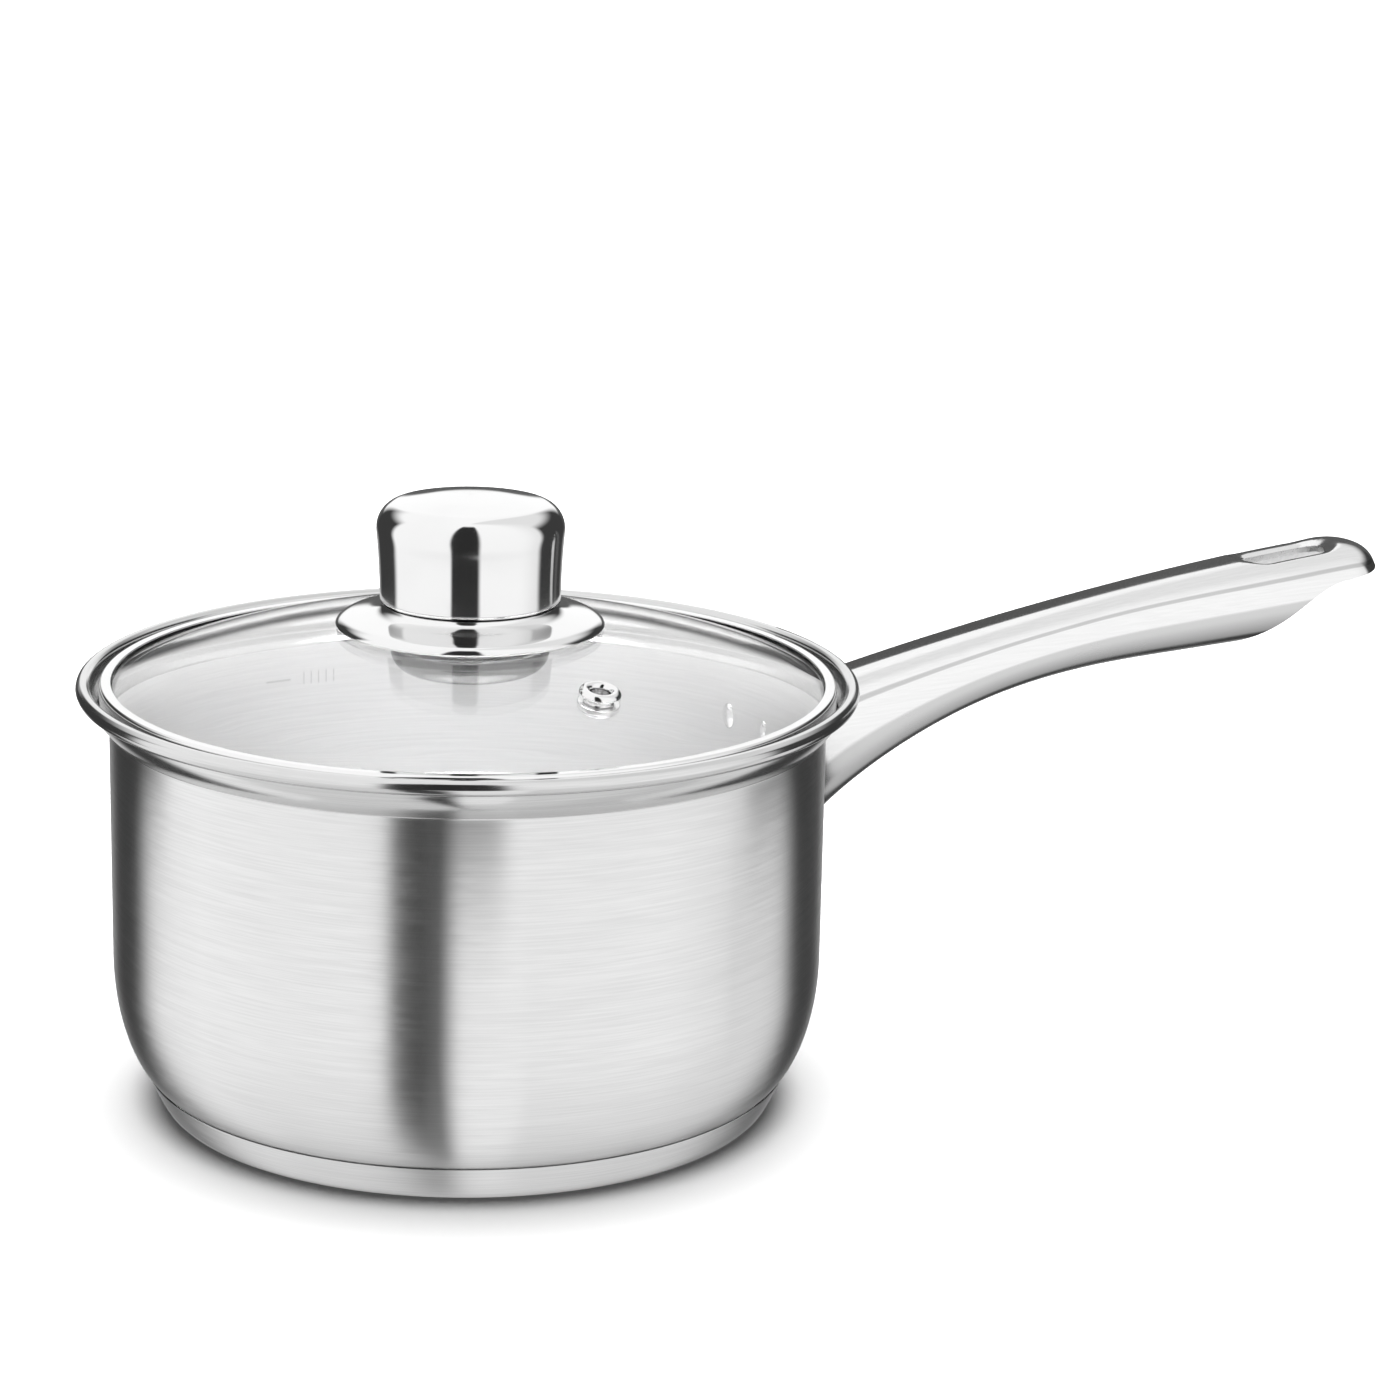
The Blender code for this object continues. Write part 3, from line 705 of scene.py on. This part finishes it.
def weld_mark(name, bearing, height, material):
    """A shallow oval pad that a spot weld leaves on the inside of the wall."""
    radius = WALL_RADIUS - SHELL_SHEET
    rings = 6
    around = 24
    points = []
    for ring in range(rings + 1):
        share = ring / rings
        for index in range(around):
            angle = 2 * math.pi * index / around
            turn = math.radians(bearing) + share * WELD_HALF_WIDTH * math.cos(angle) / radius
            depth = radius - WELD_BULGE * (1 - share**2) + WELD_SUNK
            up = height + share * WELD_HALF_HEIGHT * math.sin(angle)
            points.append(Vector((depth * math.cos(turn), depth * math.sin(turn), up)) * MILLIMETRE)
    faces = [list(range(around))]
    for start in range(0, rings * around, around):
        beyond = start + around
        for index in range(around):
            following = (index + 1) % around
            faces.append([start + index, beyond + index, beyond + following, start + following])
    faces.append(list(range(rings * around, (rings + 1) * around))[::-1])
    return settled(new_object(name, points, faces, [material]), "pan", "brushed_steel")


def weld_marks():
    """The marks of the spot welds that hold the handle's bracket, seen inside the pan."""
    # The pads are real shapes; their steel is made lighter than the wall's as a painted highlight, so they
    # show as bright flecks.
    steel = polished_steel("weld_steel_painted_highlight", 0.97, 0.12)
    for index, (bearing, height) in enumerate(WELD_PLACES):
        weld_mark(f"weld_mark_{index + 1}", bearing, height, steel)


# ---------------------------------------------------------------- lid


def vent_axis():
    """Turns a piece made about Z, with its zero on the glass, to the steam vent, square to the dome."""
    hole_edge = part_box("lid_glass")[1].z
    fall = math.sqrt(GLASS_SPHERE**2 - GLASS_HOLE_RADIUS**2) - math.sqrt(GLASS_SPHERE**2 - VENT_DISTANCE**2)
    x = VENT_DISTANCE * math.cos(VENT_BEARING) * MILLIMETRE
    y = VENT_DISTANCE * math.sin(VENT_BEARING) * MILLIMETRE
    place = Vector((x, y, hole_edge - fall * MILLIMETRE))
    lean = Matrix.Rotation(math.asin(VENT_DISTANCE / GLASS_SPHERE), 4, "Y")
    return Matrix.Translation(place) @ Matrix.Rotation(VENT_BEARING, 4, "Z") @ lean


def vent_ring(name, outline, material):
    """A small turned piece on the vent's axis. The outline is in millimetres."""
    points = [Vector(point) * MILLIMETRE for point in outline]
    fine = smoothed(filleted(points, True, 0.25 * MILLIMETRE), True, 0.15 * MILLIMETRE)
    made = spun(name, fine, True, VENT_STEPS, [material])
    made.data.transform(vent_axis())
    return made


def vent_pieces(steel):
    """The eyelet with its rounded flange, and the washer that its lower end is flared over."""
    middle = (VENT_BORE + VENT_FLANGE) / 2
    crest_steps = 12
    eyelet = []
    for step in range(crest_steps + 1):
        angle = math.radians(180.0 / crest_steps * step)
        eyelet.append((middle + (VENT_FLANGE - middle) * math.cos(angle), GAP + VENT_CREST * math.sin(angle)))
    washer_top = -(GLASS_THICKNESS + GAP)
    washer_bottom = washer_top - WASHER_THICKNESS
    clinch_top = washer_bottom - CLINCH_GAP
    clinch_bottom = clinch_top - CLINCH
    clinch_radius = VENT_BARREL + CLINCH_REACH
    eyelet += [(VENT_BORE, clinch_bottom), (clinch_radius, clinch_bottom), (clinch_radius, clinch_top)]
    eyelet += [(VENT_BARREL, clinch_top), (VENT_BARREL, GAP)]
    settled(vent_ring("steam_eyelet", eyelet, steel), "lid", "polished_steel", "vent_eyelet")
    bore = VENT_BARREL + GAP
    washer = [(bore, washer_top), (bore, washer_bottom)]
    washer += [(VENT_FLANGE, washer_bottom), (VENT_FLANGE, washer_top)]
    settled(vent_ring("steam_washer", washer, steel), "lid", "polished_steel", "vent_washer")


def glass_dome():
    """The tempered glass with its vent hole. Its outer edge is ground and dark."""
    dark_glass_edge = plain_metal("dark_glass_edge", 0.10, 0.50, metallic=0.0)
    dome = finer("lid_glass", "glass_dome", ROUND_STEPS, 2.0, 0.8, [clear_glass(), dark_glass_edge])
    edge_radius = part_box("lid_glass")[1].x - DARK_EDGE_WIDTH * MILLIMETRE
    for face in dome.data.polygons:
        face.material_index = int(math.hypot(face.center.x, face.center.y) > edge_radius)
    low, high = -8.0, 4.0  # below and above the glass
    hole_steps = 64
    hole = [(0.0, low), (VENT_GLASS_HOLE, low), (VENT_GLASS_HOLE, high), (0.0, high)]
    outline = [Vector(corner) * MILLIMETRE for corner in hole]
    punch = spun("vent_punch", outline, False, hole_steps, [dome.data.materials[0]])
    punch.data.transform(vent_axis())
    cut(dome, punch)
    dome.data.set_sharp_from_angle(angle=SHARP_ANGLE)
    return settled(dome, "lid", "glass", "lid_glass")


def lid_metal(steel, shaded):
    """The band, knob, collar and cup: turned CAD shapes again, finer and with rounded edges."""
    for node, name, steps, spacing, fillet, metal in (
        ("lid_rim_band", "rim_band", ROUND_STEPS, 0.4, 1.1, steel),
        ("knob_cap", "knob", FINE_STEPS, 0.5, 0.3, steel),
        ("knob_collar", "collar", FINE_STEPS, 0.5, 0.25, steel),
        # the cup's steel is darkened as painted shade
        ("under_lid_cup", "lid_cup", FINE_STEPS, 0.5, 0.25, shaded),
    ):
        settled(finer(node, name, steps, spacing, fillet, [metal]), "lid", "polished_steel", node)


def hidden_finishes():
    """Finishes of the CAD nodes that keep their own shape."""
    finishes = {
        "plain_steel": plain_metal("plain_steel_bare", 0.60, 0.35),
        "aluminium": plain_metal("rolled_aluminium", 0.76, 0.40),
        "silicone": plain_metal("silicone_rubber", 0.10, 0.55, metallic=0.0),
    }
    for part in frame["record"]["subparts"]:
        if part["material_slot"] in finishes:
            node = frame["nodes"][part["node"]]
            node.data.materials.clear()
            node.data.materials.append(finishes[part["material_slot"]])


# ---------------------------------------------------------------- studio


def floor():
    """A large pale floor. It is left out of reflections, as if the pan stood on a light table."""
    half = 12.0
    corners = [(-half, -half, 0.0), (half, -half, 0.0), (half, half, 0.0), (-half, half, 0.0)]
    material, graph = new_material("pale_floor")
    level = graph.step(graph.noise(graph.place(), 3.0), 0.3, 0.7, 0.93, 0.94)
    shader = surface(graph, graph.colour(level), 0.9, 0.0)
    graph.feed(shader.inputs["Emission Color"], (1.0, 1.0, 1.0, 1.0))
    graph.feed(shader.inputs["Emission Strength"], 0.05)
    made = new_object("floor", [Vector(corner) for corner in corners], [[0, 1, 2, 3]], [material])
    made.visible_glossy = False
    made.visible_shadow = False


def studio_walls():
    """Soft panels all round: two bright ones with a dark gap between them, and dark flags at the sides.

    Every angle is in degrees: `turn` goes round from the photographer (0) to the right (90), `aside` is its
    size, and `rise` is the height above the horizon.
    """
    world = bpy.data.worlds.new("studio")
    bpy.context.scene.world = world
    world.use_nodes = True
    graph = Graph(world.node_tree)
    way = graph.node("ShaderNodeTexCoord").outputs["Generated"]
    plan = [graph.along(way, axis) for axis in (RIGHTWARDS, TOWARDS)]
    turn = graph.math("DEGREES", graph.math("ARCTAN2", *plan))
    aside = graph.math("ABSOLUTE", turn)
    rise = graph.math("DEGREES", graph.math("ARCSINE", graph.parts(way)[2]))

    levels = graph.node("ShaderNodeValToRGB", {0: graph.add(graph.times(rise, 1 / 180.0), 0.5)})
    stops = levels.color_ramp
    bands = [(-90, 0.80), (-50, 0.90), (-28, 0.98), (-20, 1.12), (90, 1.15)]
    for index, (angle, level) in enumerate(bands):
        spot = stops.elements[index] if index < 2 else stops.elements.new(angle / 180.0 + 0.5)
        spot.position = angle / 180.0 + 0.5
        spot.color = (level, level, level, 1.0)
    panel = graph.node("ShaderNodeSeparateColor", {0: levels.outputs[0]}).outputs[0]
    panel = graph.times(panel, graph.step(turn, 60.0, 108.0, 1.0, 0.80))
    knob_zone = graph.step(rise, -26.0, -24.0)
    left_edge = graph.mix(-27.0, -24.5, knob_zone)
    right_edge = graph.mix(-11.0, 11.0, knob_zone)
    past_left = graph.step(graph.less(turn, left_edge), -2.0, 2.0)
    short_of_right = graph.step(graph.less(turn, right_edge), -3.0, 3.0, 1.0, 0.0)
    gap = graph.times(past_left, short_of_right)
    gap = graph.times(gap, graph.step(rise, 70.0, 80.0, 1.0, 0.0))
    flag_start = graph.mix(122.0, graph.step(turn, -10.0, 10.0, 104.0, 91.0), knob_zone)
    flag = graph.step(graph.less(aside, flag_start), 0.0, 10.0)
    flag = graph.times(flag, graph.step(rise, 20.0, 40.0, 1.0, 0.0))
    back = graph.step(aside, 152.0, 166.0)
    back_level = graph.step(rise, -17.0, -9.0, 0.6, 0.12)
    back_level = graph.step(rise, 4.0, 8.0, back_level, 1.15)

    level = graph.mix(panel, 0.03, gap)
    level = graph.mix(level, 0.05, flag)
    level = graph.mix(level, back_level, back)
    seen = graph.node("ShaderNodeLightPath").outputs["Is Camera Ray"]
    level = graph.mix(level, 1.0, seen)
    glow = graph.node("ShaderNodeBackground", {"Color": graph.colour(level), "Strength": 1.0})
    graph.node("ShaderNodeOutputWorld", {"Surface": glow.outputs[0]})
    world.cycles_visibility.diffuse = False


def top_light():
    """A soft light from above and slightly behind. It whitens the floor, and the steel doesn't mirror it."""
    lamp = bpy.data.lights.new("top_light", "SUN")
    lamp.energy = 6.4
    lamp.angle = math.radians(58.0)
    made = bpy.data.objects.new("top_light", lamp)
    leaning = 0.10
    shines = TOWARDS * leaning - Vector((0.0, 0.0, 1.0))
    made.rotation_euler = shines.to_track_quat("-Z", "Y").to_euler()
    made.visible_glossy = False
    bpy.context.scene.collection.objects.link(made)


def mirrored_card(name, corners, level_of):
    """A glowing sheet that is seen only in reflections. level_of(graph, place) gives its brightness."""
    material, graph = new_material(name)
    level = level_of(graph, graph.place())
    glow = graph.node("ShaderNodeEmission", {"Color": graph.colour(level)})
    graph.node("ShaderNodeOutputMaterial", {"Surface": glow.outputs[0]})
    made = new_object(name, corners, [list(range(len(corners)))], [material])
    for kind in ("visible_camera", "visible_diffuse", "visible_shadow", "visible_transmission"):
        setattr(made, kind, False)


def handle_card():
    """A dark strip just behind the handle, as long as it is, which draws its dark top edge."""
    behind, shift = 20.0, 10.6
    below, above, widening = 8.0, 18.5, 3.0
    root, length = 84.0, 220.0
    stations = 12
    lower = []
    upper = []
    for step in range(stations + 1):
        share = step / stations
        x = root + length * share
        crown = crown_height(x)
        lower.append(Vector((x + shift, behind, crown - below)) * MILLIMETRE)
        upper.append(Vector((x + shift, behind, crown + above + widening * share)) * MILLIMETRE)

    def dark(graph, place):
        return graph.step(graph.noise(place, 4.0), 0.3, 0.7, 0.10, 0.12)

    mirrored_card("handle_card", lower + upper[::-1], dark)


def fill_cards():
    """Low bright cards close to the pan. Its straight wall mirrors them, which shortens its dark streaks.

    Their ends are given in metres, rightwards and towards the photographer.
    """
    low, high = -0.150, 0.068
    for name, dark_end, bright_end, ramp, bright in (
        ("front_card", (-0.016, 0.130), (0.030, 0.130), 0.014, 1.10),
        ("left_card", (-0.130, -0.016), (-0.130, 0.050), 0.030, 1.08),
        ("right_card", (0.130, -0.012), (0.130, 0.050), 0.026, 0.88),
    ):
        start, end = [RIGHTWARDS * aside + TOWARDS * near for aside, near in (dark_end, bright_end)]
        way = (end - start).normalized()

        def brightening(graph, place):
            first = start.dot(way)
            return graph.step(graph.along(place, way), first, first + ramp, 0.05, bright)

        corners = [Vector((spot.x, spot.y, low)) for spot in (start, end)]
        corners += [Vector((spot.x, spot.y, high)) for spot in (end, start)]
        mirrored_card(name, corners, brightening)


def camera():
    """A 100 mm lens, looking slightly down on the pan with its handle to the right."""
    level_way = Vector((math.sin(VIEW_YAW), math.cos(VIEW_YAW), 0.0))
    forward = level_way * math.cos(VIEW_PITCH) - Vector((0.0, 0.0, math.sin(VIEW_PITCH)))
    right = Vector((math.cos(VIEW_YAW), -math.sin(VIEW_YAW), 0.0))
    up = right.cross(forward)
    sideways = right * math.cos(VIEW_ROLL) + up * math.sin(VIEW_ROLL)
    upright = up * math.cos(VIEW_ROLL) - right * math.sin(VIEW_ROLL)
    turn = Matrix.Rotation(-HANDLE_TURN, 3, "Z")
    columns = [turn @ sideways, turn @ upright, turn @ -forward]
    lens = bpy.data.cameras.new("camera")
    lens.lens = 100.0
    lens.sensor_width = 36.0
    made = bpy.data.objects.new("camera", lens)
    made.matrix_world = Matrix.Translation(turn @ VIEW_PLACE) @ Matrix(columns).transposed().to_4x4()
    bpy.context.scene.collection.objects.link(made)
    bpy.context.scene.camera = made


def main():
    camera()
    floor()
    studio_walls()
    top_light()
    handle_card()
    fill_cards()
    bpy.context.scene.view_settings.view_transform = "Standard"
    bpy.context.scene.cycles.glossy_bounces = 8
    bpy.context.scene.cycles.caustics_reflective = False
    steel = polished_steel("mirror_steel", 0.82, 0.05)
    pan_shell()
    base_cup()
    handle_grip()
    weld_marks()
    glass_dome()
    vent_pieces(steel)
    # painted shade: the under-lid cup gets steel darkened to 0.24, as if in the lid's shade
    lid_metal(steel, polished_steel("painted_shade_steel", 0.24, 0.10))
    hidden_finishes()


main()
